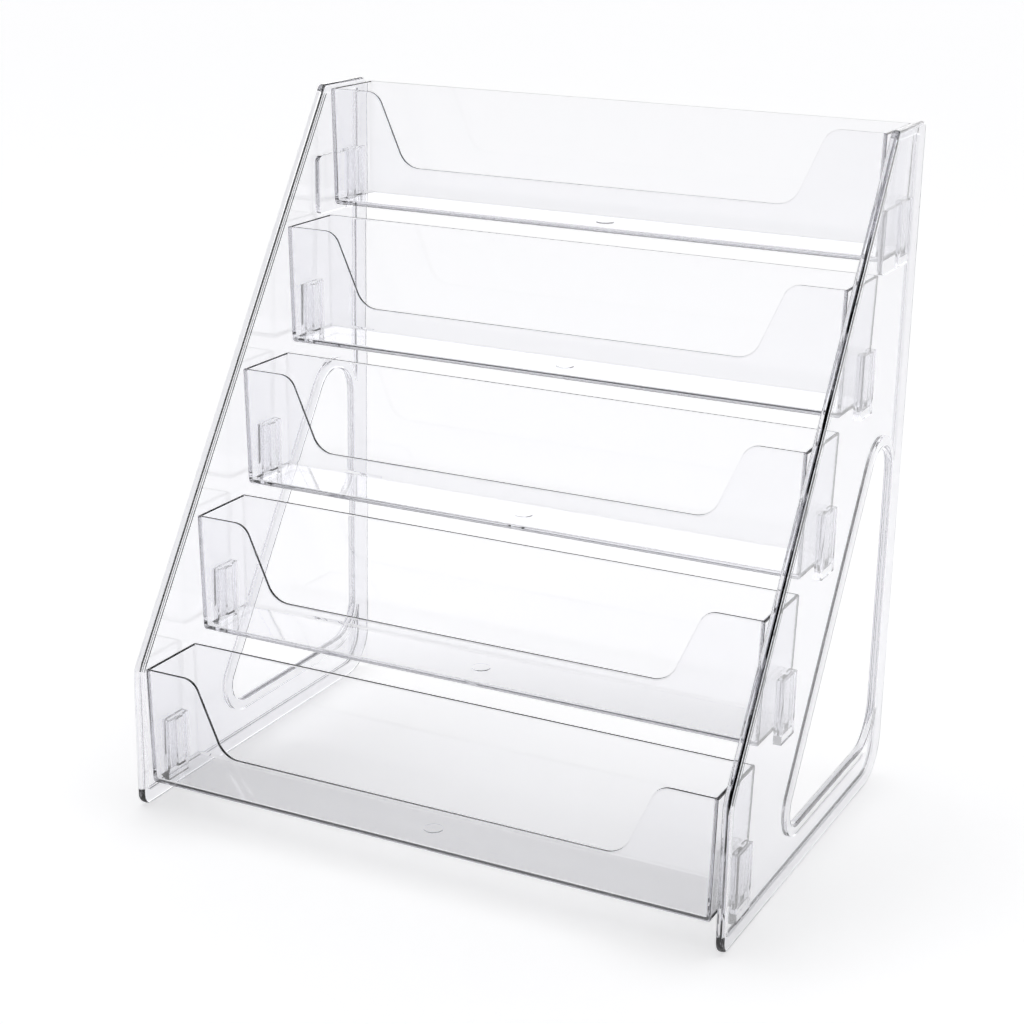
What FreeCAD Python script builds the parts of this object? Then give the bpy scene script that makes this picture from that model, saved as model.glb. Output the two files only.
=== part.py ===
"""Tiered brochure rack: two clear side panels and five clear trays that hang between them.

Frame: +X to the right, +Y to the rear, +Z up. The origin is the middle of the footprint, on the
table that the panels stand on. Millimetres.
"""
import FreeCAD, Part
import math
import os

V = FreeCAD.Vector

# ---------------------------------------------------------------- overall size
overall_width = 305.0
overall_depth = 215.0
overall_height = 330.0

# ---------------------------------------------------------------- side panels
rim_thickness = 4.0            # across the width, at the thick border
web_thickness = 1.8            # across the width, in the thin field
outer_recess = 0.9             # from the rim's outer face to the field
knee_height = 71.0             # where the upright front edge starts to lean back
top_edge_length = 42.5         # level edge at the top
rim_width_front = 4.5          # thick border along the upright, leaning and top edges
rim_width_bottom = 7.5
rim_width_rear = 11.0
toe_radius = 6.5
heel_radius = 22.0
knee_radius = 14.0
crown_front_radius = 3.0
crown_rear_radius = 4.0
rim_round = 1.6                # rounding of the rim's long edges

window_sill = 25.0             # height of the window's lower edge
window_to_rear = 16.5          # from the rear edge of the panel
window_to_lean = 84.6
window_rim = 6.0
window_toe_radius = 10.0
window_heel_radius = 19.0
window_apex_radius = 16.0

# ---------------------------------------------------------------- trays
tray_count = 5
tray_height = 59.1
tray_depth = 40.4              # at the top edge
tray_top_gap = 1.8             # from the top of the panels to the top tray
tray_rear_gap = 0.2            # from the rear of the panels to the top tray
tray_side_gap = 2.3
tier_drop = 64.0
tier_step = 42.3
bottom_tray_advance = 3.3      # the lowest tray stands this much further forward
side_draft = 1.4               # each end leans in this much from top to bottom
face_draft = 0.7               # front and back lean in this much from top to bottom
tray_wall = 1.8
tray_floor = 2.0
tray_corner_radius = 0.9
tray_base_radius = 1.8
inner_corner_radius = 0.6
inner_base_radius = 1.0
lip_height = 22.6              # low front lip
shoulder_length = 27.5         # full-height part of the front at each end
slope_run = 16.0               # width of the slope from shoulder to lip
shoulder_radius = 9.0
lip_radius = 12.0
edge_round = 0.8               # rounding of the tray's free upper edges
gate_diameter = 9.0
gate_height = 0.4

# ---------------------------------------------------------------- hanging joint
tongue_setback = 18.0          # from the tray's front to the tongue's flange
flange_width = 12.8
flange_thickness = 1.1
tongue_height = 25.5
neck_width = 5.6
slot_clearance = 0.3           # across the width, each side of the flange and lips
slot_side_clearance = 0.4      # front and rear of the flange and neck
pocket_wall = 1.3
pocket_lip = 0.9               # thickness of the lips that hold the flange
pocket_floor = 4.0
pocket_above_tongue = 1.0
cheek_reach = 9.5              # the top pocket's cheek stands this far ahead of its tray
cheek_thickness = 1.2          # beyond the rim's inner face
cheek_drop = 4.0
cheek_radius = 3.0

tray_names = ["top_tray", "upper_tray", "middle_tray", "lower_tray", "bottom_tray"]

# ---------------------------------------------------------------- worked out
panel_outer_x = overall_width / 2
panel_inner_x = panel_outer_x - rim_thickness
web_outer_x = panel_outer_x - outer_recess
web_inner_x = web_outer_x - web_thickness
front_y = -overall_depth / 2
rear_y = overall_depth / 2
crown_y = rear_y - top_edge_length
lean_angle = math.atan2(crown_y - front_y, overall_height - knee_height)
tray_half_top = panel_inner_x - tray_side_gap
tray_half_base = tray_half_top - side_draft
flange_outer_x = panel_inner_x - slot_clearance
flange_inner_x = flange_outer_x - flange_thickness
pocket_lip_outer_x = flange_inner_x - slot_clearance
pocket_lip_inner_x = pocket_lip_outer_x - pocket_lip


def tray_front(tier):
    """Y of a tray's front at its top edge; tier 0 is the top one."""
    top_front = rear_y - tray_rear_gap - tray_depth
    advance = bottom_tray_advance if tier == tray_count - 1 else 0.0
    return top_front - tier * tier_step - advance


def tray_base(tier):
    """Z of a tray's underside."""
    return overall_height - tray_top_gap - tray_height - tier * tier_drop


def inset(points, distances):
    """Corners of an outline whose side i, from corner i to the next, is moved inwards."""
    count = len(points)
    lines = []
    for i in range(count):
        ax, ay = points[i]
        bx, by = points[(i + 1) % count]
        length = math.hypot(bx - ax, by - ay)
        nx = -(by - ay) / length
        ny = (bx - ax) / length
        lines.append((nx, ny, nx * ax + ny * ay + distances[i]))
    corners = []
    for i in range(count):
        a1, b1, c1 = lines[i - 1]
        a2, b2, c2 = lines[i]
        det = a1 * b2 - a2 * b1
        corners.append(((c1 * b2 - c2 * b1) / det, (a1 * c2 - a2 * c1) / det))
    return corners


def rounded_wire(points, radii, place):
    """Closed wire through the corners, each rounded by its radius; place maps (u, v) to space."""
    count = len(points)
    starts = []
    mids = []
    ends = []
    for i in range(count):
        corner = V(points[i][0], points[i][1], 0)
        before = V(points[i - 1][0], points[i - 1][1], 0)
        after = V(points[(i + 1) % count][0], points[(i + 1) % count][1], 0)
        to_before = (before - corner).normalize()
        to_after = (after - corner).normalize()
        half = to_before.getAngle(to_after) / 2
        reach = radii[i] / math.tan(half)
        bisector = (to_before + to_after).normalize()
        starts.append(corner + to_before * reach)
        ends.append(corner + to_after * reach)
        mids.append(corner + bisector * (radii[i] / math.sin(half) - radii[i]))
    edges = []
    for i in range(count):
        nxt = (i + 1) % count
        if radii[i] > 0:
            arc = Part.Arc(place(starts[i]), place(mids[i]), place(ends[i]))
            edges.append(arc.toShape())
        edges.append(Part.LineSegment(place(ends[i]), place(starts[nxt])).toShape())
    return Part.Wire(edges)


def slab(points, radii, x_low, x_high):
    """Plate with a rounded outline in the YZ plane, between two X values."""
    wire = rounded_wire(points, radii, lambda p: V(x_low, p.x, p.y))
    return Part.Face(wire).extrude(V(x_high - x_low, 0, 0))


def block(x_low, x_high, y_low, y_high, z_low, z_high):
    """Box between six values."""
    corner = V(x_low, y_low, z_low)
    return Part.makeBox(x_high - x_low, y_high - y_low, z_high - z_low, corner)


# ---------------------------------------------------------------- side panel, drawn at +X
def panel_outline():
    """Corners of the panel, counter-clockwise seen from +X, with the radius of each."""
    points = [
        (front_y, 0.0),
        (rear_y, 0.0),
        (rear_y, overall_height),
        (crown_y, overall_height),
        (front_y, knee_height),
    ]
    radii = [toe_radius, heel_radius, crown_rear_radius, crown_front_radius, knee_radius]
    return points, radii


def window_outline():
    """Corners of the triangular window and the radius of each."""
    back = rear_y - window_to_rear
    # the window's leaning side runs parallel to the panel's leaning edge
    slope = math.tan(lean_angle)
    offset = window_to_lean / math.cos(lean_angle)

    def lean_y(z):
        return front_y + slope * (z - knee_height) + offset

    toe = (lean_y(window_sill), window_sill)
    apex_height = knee_height + (back - front_y - offset) / slope
    points = [toe, (back, window_sill), (back, apex_height)]
    radii = [window_toe_radius, window_heel_radius, window_apex_radius]
    return points, radii


def field_outline():
    """The thin field's border, inside the rim."""
    points, radii = panel_outline()
    widths = [
        rim_width_bottom,
        rim_width_rear,
        rim_width_front,
        rim_width_front,
        rim_width_front,
    ]
    least = 1.0
    inner_radii = [max(least, r - w) for r, w in zip(radii, widths)]
    inner_radii[1] = heel_radius - rim_width_bottom
    return inset(points, widths), inner_radii


def recess(x_low, x_high):
    """What is taken away between rim and field on one face."""
    points, radii = field_outline()
    field = slab(points, radii, x_low, x_high)
    points, radii = window_outline()
    border = inset(points, [-window_rim] * 3)
    return field.cut(slab(border, [r + window_rim for r in radii], x_low, x_high))


def panel_plate():
    """Rim, field and window, before the pockets are added."""
    points, radii = panel_outline()
    plate = slab(points, radii, panel_inner_x, panel_outer_x)
    points, radii = window_outline()
    plate = plate.cut(slab(points, radii, panel_inner_x - 1, panel_outer_x + 1))
    long_edges = []
    for edge in plate.Edges:
        box = edge.BoundBox
        if box.XLength < 0.01:
            long_edges.append(edge)
    plate = plate.makeFillet(rim_round, long_edges)
    plate = plate.cut(recess(web_outer_x, panel_outer_x + 1))
    return plate.cut(recess(panel_inner_x - 1, web_inner_x))


def pocket_span(tier):
    """Front and rear of the flange's slot, without the pocket's walls."""
    slot_front = tray_front(tier) + tongue_setback - slot_side_clearance
    slot_rear = slot_front + flange_width + 2 * slot_side_clearance
    return slot_front, slot_rear


def pocket_bottom(tier):
    """Z where a pocket starts; the lowest one grows out of the bottom rim."""
    if tier == tray_count - 1:
        return rim_width_bottom - 1.0
    return tray_base(tier) - pocket_floor


def pocket(tier):
    """C-shaped pocket, open at the top, that takes a tray's tongue."""
    slot_front, slot_rear = pocket_span(tier)
    base = tray_base(tier)
    top = base + tongue_height + pocket_above_tongue
    bottom = pocket_bottom(tier)
    y_low = slot_front - pocket_wall
    y_high = slot_rear + pocket_wall
    body = block(pocket_lip_inner_x, web_inner_x + web_thickness / 2, y_low, y_high, bottom, top)
    slot = block(pocket_lip_outer_x, panel_inner_x, slot_front, slot_rear, base, top + 1)
    middle = (slot_front + slot_rear) / 2
    half_gap = neck_width / 2 + slot_side_clearance
    gap = block(pocket_lip_inner_x - 1, panel_inner_x, middle - half_gap, middle + half_gap, base, top + 1)
    return body.cut(slot).cut(gap)


def cheek():
    """Flat cheek beside the top pocket, which reaches ahead of the top tray."""
    slot_front, slot_rear = pocket_span(0)
    base = tray_base(0)
    y_low = tray_front(0) - cheek_reach
    y_high = slot_front - pocket_wall / 2
    z_low = base - cheek_drop
    z_high = base + tongue_height
    points = [(y_low, z_low), (y_high, z_low), (y_high, z_high), (y_low, z_high)]
    radii = [cheek_radius, 0.0, 0.0, cheek_radius]
    x_low = panel_inner_x - cheek_thickness
    return slab(points, radii, x_low, web_inner_x + web_thickness / 2)


def side_panel():
    """One side panel at +X, with its five pockets on the inner face."""
    panel = panel_plate()
    pieces = [pocket(tier) for tier in range(tray_count)]
    pieces.append(cheek())
    return panel.fuse(pieces).removeSplitter()


# ---------------------------------------------------------------- tray
def prism(points, travel):
    """Solid swept along travel from the polygon through the points."""
    return Part.Face(Part.makePolygon(points + points[:1])).extrude(travel)


def tapered_box(inward, z_low, z_high):
    """Box with the tray's drafted walls, moved inwards all round."""
    low = z_low / tray_height
    high = z_high / tray_height
    half_low = tray_half_base + side_draft * low - inward
    half_high = tray_half_base + side_draft * high - inward
    front_low = face_draft * (1 - low) + inward
    front_high = face_draft * (1 - high) + inward
    rear_low = tray_depth - front_low
    rear_high = tray_depth - front_high
    reach = tray_half_top + 20.0
    ends = [V(-half_low, -20, z_low), V(half_low, -20, z_low)]
    ends += [V(half_high, -20, z_high), V(-half_high, -20, z_high)]
    faces = [V(-reach, front_low, z_low), V(-reach, rear_low, z_low)]
    faces += [V(-reach, rear_high, z_high), V(-reach, front_high, z_high)]
    between_ends = prism(ends, V(0, tray_depth + 40, 0))
    return between_ends.common(prism(faces, V(2 * reach, 0, 0))).Solids[0]


def rounded_box(inward, z_low, z_high, base_radius, corner_radius):
    """Drafted box with its upright edges and then its base edges rounded."""
    box = tapered_box(inward, z_low, z_high)
    upright = [edge for edge in box.Edges if edge.BoundBox.ZLength > 1.0]
    box = box.makeFillet(corner_radius, upright)
    base = [edge for edge in box.Edges if edge.BoundBox.ZMax < z_low + 0.01]
    return box.makeFillet(base_radius, base)


def front_opening():
    """Prism that lowers the tray's front to the lip between the two shoulders."""
    edge = tray_half_top - shoulder_length
    foot = edge - slope_run
    over = tray_height + 30.0
    points = [(-foot, lip_height), (foot, lip_height), (edge, tray_height), (edge, over)]
    points += [(-edge, over), (-edge, tray_height)]
    radii = [lip_radius, lip_radius, 0.0, 0.0, 0.0, 0.0]
    wire = rounded_wire(points, radii, lambda p: V(p.x, -5.0, p.y))
    return Part.Face(wire).extrude(V(0, 5.0 + tray_wall + face_draft + 2.0, 0))


def shoulder_round(side):
    """Material to take off where the level shoulder turns into the slope."""
    edge = side * (tray_half_top - shoulder_length)
    foot = side * (tray_half_top - shoulder_length - slope_run)
    corner = V(edge, 0, tray_height)
    to_end = V(side, 0, 0)
    to_foot = V(foot - edge, 0, lip_height - tray_height).normalize()
    half = to_end.getAngle(to_foot) / 2
    reach = shoulder_radius / math.tan(half)
    bisector = (to_end + to_foot).normalize()
    start = corner + to_end * reach
    middle = corner + bisector * (shoulder_radius / math.sin(half) - shoulder_radius)
    end = corner + to_foot * reach
    lift = V(-side * 3.0, 0, 3.0)
    back = V(0, -5.0, 0)
    arc = Part.Arc(start + back, middle + back, end + back).toShape()
    over = Part.LineSegment(end + back, end + back + lift).toShape()
    far = Part.LineSegment(end + back + lift, start + back + V(0, 0, 3.0)).toShape()
    down = Part.LineSegment(start + back + V(0, 0, 3.0), start + back).toShape()
    wire = Part.Wire([arc, over, far, down])
    return Part.Face(wire).extrude(V(0, 5.0 + tray_wall + face_draft + 2.0, 0))


def free_edges(shape):
    """Edges along the tray's open top and its lowered front."""
    found = []
    for edge in shape.Edges:
        box = edge.BoundBox
        middle = edge.valueAt((edge.FirstParameter + edge.LastParameter) / 2)
        along_top = box.ZMin > tray_height - 0.01
        in_front = middle.y < tray_wall + face_draft + 0.5 and box.ZMin > lip_height - 0.01
        across_wall = box.XLength < tray_wall + 0.5 and box.YLength > 0.5
        inside_end = abs(middle.x) > tray_half_top - shoulder_length + shoulder_radius
        if along_top or (in_front and not across_wall and not (inside_end and box.ZLength > 1.0)):
            found.append(edge)
    return found


def tongue(side):
    """T-shaped tongue on one end of the tray."""
    y_low = tongue_setback
    y_high = y_low + flange_width
    middle = (y_low + y_high) / 2
    inner = tray_half_base - tray_wall / 2
    flange = block(flange_inner_x, flange_outer_x, y_low, y_high, 0.0, tongue_height)
    neck = block(inner, flange_inner_x + 0.2, middle - neck_width / 2, middle + neck_width / 2, 0.0, tongue_height)
    shape = flange.fuse(neck).removeSplitter()
    if side < 0:
        shape = shape.mirror(V(0, 0, 0), V(1, 0, 0))
    return shape


def tray():
    """One tray with its front top edge at y = 0 and its underside at z = 0."""
    outer = rounded_box(0.0, 0.0, tray_height, tray_base_radius, tray_corner_radius)
    inner = rounded_box(tray_wall, tray_floor, tray_height + 5.0, inner_base_radius, inner_corner_radius)
    shell = outer.cut(inner)
    shell = shell.cut(front_opening())
    for side in (-1, 1):
        shell = shell.cut(shoulder_round(side))
    shell = shell.makeFillet(edge_round, free_edges(shell))
    gate = Part.makeCylinder(gate_diameter / 2, gate_height + 1.0, V(0, tray_depth / 2, tray_floor - 1.0))
    return shell.fuse([gate, tongue(1), tongue(-1)]).removeSplitter()


def save(shape, name):
    """Writes one node and prints what it measures."""
    shape.exportStep(os.path.join("parts", name + ".step"))
    box = shape.BoundBox
    print(name, "valid", shape.isValid(), "solids", len(shape.Solids), "volume", round(shape.Volume, 1))
    print("   X", round(box.XMin, 2), round(box.XMax, 2), "Y", round(box.YMin, 2), round(box.YMax, 2),
          "Z", round(box.ZMin, 2), round(box.ZMax, 2))


def main():
    """Builds every node."""
    os.makedirs("parts", exist_ok=True)
    right = side_panel()
    save(right, "right_side_panel")
    save(right.mirror(V(0, 0, 0), V(1, 0, 0)), "left_side_panel")
    for tier, name in enumerate(tray_names):
        piece = tray()
        piece.translate(V(0, tray_front(tier), tray_base(tier)))
        save(piece, name)


main()
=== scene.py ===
"""Looks of a clear, free-standing brochure rack: two moulded side panels and five lift-out trays.

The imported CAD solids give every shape. This file gives them their plastic, and adds the table, the
studio light and the camera. Lengths in the classes are millimetres; Blender works in metres.
"""

import logging
import math
from dataclasses import dataclass
from enum import Enum

import bpy
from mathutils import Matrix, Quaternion, Vector

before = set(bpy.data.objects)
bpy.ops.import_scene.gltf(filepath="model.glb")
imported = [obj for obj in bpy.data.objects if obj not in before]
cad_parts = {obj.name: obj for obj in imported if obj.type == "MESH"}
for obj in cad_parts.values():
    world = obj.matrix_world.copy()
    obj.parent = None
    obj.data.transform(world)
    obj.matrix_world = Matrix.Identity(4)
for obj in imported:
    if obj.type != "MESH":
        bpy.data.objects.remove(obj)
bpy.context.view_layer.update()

MM = 0.001
log = logging.getLogger("brochure_rack")


class Slot(Enum):
    """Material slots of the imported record."""

    PANEL = "panel_plastic"
    TRAY = "tray_plastic"


def linear(code: str) -> tuple[float, float, float, float]:
    """Turns an sRGB hex colour into linear red, green, blue and alpha.

    Args:
        code: Six hex digits after a hash.

    Returns:
        Four numbers from 0 to 1.
    """
    parts = [int(code[i : i + 2], 16) / 255 for i in (1, 3, 5)]
    red, green, blue = [p / 12.92 if p <= 0.04045 else ((p + 0.055) / 1.055) ** 2.4 for p in parts]
    return red, green, blue, 1.0


def add_node(
    tree: bpy.types.NodeTree,
    kind: str,
    settings: dict[str, object] | None = None,
    links: dict[str | int, bpy.types.NodeSocket] | None = None,
) -> bpy.types.Node:
    """Adds one node with its settings and incoming links.

    Args:
        tree: Node tree that takes the node.
        kind: Blender's name of the node's type.
        settings: Socket or attribute values by name.
        links: Sockets of other nodes, by the input that each feeds.

    Returns:
        The new node.
    """
    node = tree.nodes.new(kind)
    for name, value in (settings or {}).items():
        if hasattr(node, name):
            setattr(node, name, value)
        else:
            node.inputs[name].default_value = value
    for name, socket in (links or {}).items():
        tree.links.new(socket, node.inputs[name])
    return node


@dataclass(frozen=True)
class ClearPolystyrene:
    """Injection-moulded general-purpose polystyrene from a polished mould: clear, hard and glossy.

    It bends light more than acrylic does, so thin walls stay nearly invisible while their edges draw
    dark and bright lines. Light that runs along a wall darkens with its path, which gives the cut edges
    their grey. Flow in the mould leaves the faces very slightly wavy, so reflections bend a little.

    Sizes of the patterns and their depth are in millimetres, the density is per metre. The flow
    stretch draws the waves out along the rack's width, as melt runs through a long tray mould.
    """

    name: str
    tint: str = "#FDFDFE"
    ior: float = 1.59
    clearest: float = 0.0
    dullest: float = 0.02
    haze_mm: float = 38.0
    haze_span: tuple[float, float] = (0.35, 0.75)
    wave_mm: float = 55.0
    flow_stretch: float = 0.35
    wave_depth_mm: float = 0.02
    depth_tint: str = "#B8B8C0"
    density: float = 26.0

    def material(self) -> bpy.types.Material:
        """Builds the material.

        Returns:
            A material whose patterns follow the row frame in real millimetres.
        """
        made = bpy.data.materials.new(self.name)
        made.use_nodes = True
        tree = made.node_tree
        tree.nodes.clear()
        place = add_node(tree, "ShaderNodeTexCoord")
        at = place.outputs["Object"]
        haze = add_node(
            tree, "ShaderNodeTexNoise",
            {"Scale": 1 / (self.haze_mm * MM), "Detail": 3.0, "Roughness": 0.55}, {"Vector": at},
        )
        polish = add_node(
            tree, "ShaderNodeMapRange",
            {
                "From Min": self.haze_span[0], "From Max": self.haze_span[1],
                "To Min": self.clearest, "To Max": self.dullest,
            },
            {"Value": haze.outputs["Fac"]},
        )
        stretch = add_node(
            tree, "ShaderNodeMapping", {"Scale": (self.flow_stretch, 1.0, 1.0)}, {"Vector": at}
        )
        wave = add_node(
            tree, "ShaderNodeTexNoise",
            {"Scale": 1 / (self.wave_mm * MM), "Detail": 1.0, "Roughness": 0.4},
            {"Vector": stretch.outputs["Vector"]},
        )
        relief = add_node(
            tree, "ShaderNodeBump",
            {"Strength": 1.0, "Distance": self.wave_depth_mm * MM}, {"Height": wave.outputs["Fac"]},
        )
        body = add_node(
            tree, "ShaderNodeBsdfPrincipled",
            {"Base Color": linear(self.tint), "IOR": self.ior, "Transmission Weight": 1.0},
            {"Roughness": polish.outputs["Result"], "Normal": relief.outputs["Normal"]},
        )
        inside = add_node(
            tree, "ShaderNodeVolumeAbsorption",
            {"Color": linear(self.depth_tint), "Density": self.density},
        )
        add_node(
            tree, "ShaderNodeOutputMaterial", None,
            {"Surface": body.outputs["BSDF"], "Volume": inside.outputs["Volume"]},
        )
        return made


@dataclass
class Mouldings:
    """A group of CAD nodes moulded from one plastic."""

    nodes: tuple[str, ...]
    slot: Slot
    finish: ClearPolystyrene

    def dress(self) -> None:
        """Puts the group's material on each of its nodes."""
        plastic = self.finish.material()
        for name in self.nodes:
            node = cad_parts[name]
            node.data.materials.clear()
            node.data.materials.append(plastic)
            log.info("%s dressed in %s", name, plastic.name)


@dataclass
class SidePanels(Mouldings):
    """The pair of moulded side panels that stand on the table."""

    nodes: tuple[str, ...] = ("left_side_panel", "right_side_panel")
    slot: Slot = Slot.PANEL
    # A touch greyer than the trays, so that the thin field shows against a white table.
    finish: ClearPolystyrene = ClearPolystyrene(
        "moulded_clear_polystyrene_panel", tint="#F7F7F9", density=20.0
    )


@dataclass
class Trays(Mouldings):
    """The five lift-out trays."""

    nodes: tuple[str, ...] = ("top_tray", "upper_tray", "middle_tray", "lower_tray", "bottom_tray")
    slot: Slot = Slot.TRAY
    # The denser of the two, so that the trays' edges read as crisp grey lines.
    finish: ClearPolystyrene = ClearPolystyrene("moulded_clear_polystyrene_tray")


@dataclass
class Studio:
    """Table, soft light and camera.

    The tent is white at the sides and behind, grey in its roof and grey at its open mouth in front, so
    that clear edges find something dark to bend into view. Roof and mouth limits are the upward and
    rearward parts of a unit direction.
    """

    table_half_m: float = 9.0
    table_drop_mm: float = 0.3
    table_colour: str = "#F4F4F5"
    # Painted light: the table's even glow, which lifts the shadow under the rack.
    table_glow: float = 0.60
    table_roughness: float = 0.9
    table_specular: float = 0.1
    target_mm: tuple[float, float, float] = (-5.378, 0.0, 143.869)
    azimuth_deg: float = 26.662
    elevation_deg: float = 18.085
    distance_mm: float = 1020.672
    roll_deg: float = 0.963
    lens_mm: float = 74.875
    sensor_mm: float = 36.0
    clip_m: tuple[float, float] = (0.01, 100.0)
    tent_light: float = 1.63
    roof_grey: float = 0.1
    roof_from: tuple[float, float] = (0.34, 0.42)
    roof_to: tuple[float, float] = (0.80, 0.88)
    mouth_from: float = -0.25
    mouth_to: float = 0.15
    mouth_grey: float = 0.1
    lamp_spot_m: tuple[float, float, float] = (-0.6, -0.5, 1.9)
    lamp_aim_m: tuple[float, float, float] = (0.0, 0.0, 0.15)
    lamp_size_m: tuple[float, float] = (1.4, 1.0)
    lamp_watts: float = 4.0
    light_bounces: int = 24
    mirror_bounces: int = 12

    def table(self) -> None:
        """Adds the plain pale table top. It also glows evenly in its own colour: painted light that
        lifts the rack's shadow on the table and lights the rack a little from below.
        """
        bpy.ops.object.select_all(action="DESELECT")
        bpy.ops.mesh.primitive_plane_add(
            size=2 * self.table_half_m, location=(0, 0, -self.table_drop_mm * MM)
        )
        top = bpy.context.object
        top.name = "table_top"
        paint = bpy.data.materials.new("matt_white_laminate_painted_glow")
        paint.use_nodes = True
        shader = paint.node_tree.nodes["Principled BSDF"]
        shader.inputs["Base Color"].default_value = linear(self.table_colour)
        shader.inputs["Roughness"].default_value = self.table_roughness
        shader.inputs["Specular IOR Level"].default_value = self.table_specular
        # Painted light: the table glows in its own colour, which lightens the rack's shadow on it.
        shader.inputs["Emission Color"].default_value = linear(self.table_colour)
        shader.inputs["Emission Strength"].default_value = self.table_glow
        top.data.materials.append(paint)
        log.info("table top added")

    def sky(self) -> None:
        """Surrounds the rack with the light tent, and shows plain white behind it."""
        world = bpy.data.worlds.new("light_tent")
        bpy.context.scene.world = world
        world.use_nodes = True
        tree = world.node_tree
        tree.nodes.clear()
        place = add_node(tree, "ShaderNodeTexCoord")
        split = add_node(tree, "ShaderNodeSeparateXYZ", None, {0: place.outputs["Generated"]})
        roof = add_node(tree, "ShaderNodeValToRGB", None, {"Fac": split.outputs["Z"]})
        stops = roof.color_ramp.elements
        white, dark = (1.0, 1.0, 1.0, 1.0), (*[self.roof_grey] * 3, 1.0)
        for stop, position, colour in zip(stops, self.roof_from, (white, dark)):
            stop.position, stop.color = position, colour
        for position, colour in zip(self.roof_to, (dark, white)):
            stops.new(position).color = colour
        mouth = add_node(
            tree, "ShaderNodeMapRange",
            {
                "From Min": self.mouth_from, "From Max": self.mouth_to,
                "To Min": self.mouth_grey, "To Max": 1.0,
            },
            {"Value": split.outputs["Y"]},
        )
        lit = add_node(
            tree, "ShaderNodeVectorMath", {"operation": "SCALE"},
            {0: roof.outputs["Color"], "Scale": mouth.outputs["Result"]},
        )
        tent = add_node(
            tree, "ShaderNodeBackground",
            {"Strength": self.tent_light}, {"Color": lit.outputs["Vector"]},
        )
        plain = add_node(tree, "ShaderNodeBackground", {"Color": white, "Strength": 1.0})
        eye = add_node(tree, "ShaderNodeLightPath")
        both = add_node(
            tree, "ShaderNodeMixShader", None,
            {0: eye.outputs["Is Camera Ray"], 1: tent.outputs[0], 2: plain.outputs[0]},
        )
        add_node(tree, "ShaderNodeOutputWorld", None, {"Surface": both.outputs[0]})

    def lamp(self) -> None:
        """Adds the rectangular soft box overhead, aimed at the rack."""
        bpy.ops.object.light_add(type="AREA", location=self.lamp_spot_m)
        box = bpy.context.object
        box.name = "overhead_soft_box"
        box.data.shape = "RECTANGLE"
        box.data.size, box.data.size_y = self.lamp_size_m
        box.data.energy = self.lamp_watts
        aim = Vector(self.lamp_aim_m) - Vector(self.lamp_spot_m)
        box.rotation_mode = "QUATERNION"
        box.rotation_quaternion = aim.to_track_quat("-Z", "Y")
        log.info("%s added", box.name)

    def camera(self) -> None:
        """Adds the camera."""
        az = math.radians(self.azimuth_deg)
        el = math.radians(self.elevation_deg)
        back = Vector((math.sin(az) * math.cos(el), -math.cos(az) * math.cos(el), math.sin(el)))
        bpy.ops.object.camera_add()
        eye = bpy.context.object
        eye.name = "camera"
        eye.location = (Vector(self.target_mm) + back * self.distance_mm) * MM
        eye.rotation_mode = "QUATERNION"
        eye.rotation_quaternion = (-back).to_track_quat("-Z", "Y") @ Quaternion(
            (0, 0, 1), math.radians(self.roll_deg)
        )
        eye.data.lens = self.lens_mm
        eye.data.sensor_width = self.sensor_mm
        eye.data.clip_start, eye.data.clip_end = self.clip_m
        bpy.context.scene.camera = eye

    def set_up(self) -> None:
        """Builds the whole studio."""
        self.table()
        self.sky()
        self.lamp()
        self.camera()
        scene = bpy.context.scene
        scene.view_settings.view_transform = "Standard"
        scene.cycles.max_bounces = self.light_bounces
        scene.cycles.transmission_bounces = self.light_bounces
        scene.cycles.glossy_bounces = self.mirror_bounces
        scene.cycles.transparent_max_bounces = self.light_bounces


def main() -> None:
    """Dresses the rack and sets up the studio."""
    logging.basicConfig(level=logging.INFO)
    SidePanels().dress()
    Trays().dress()
    Studio().set_up()


if __name__ == "__main__":
    main()
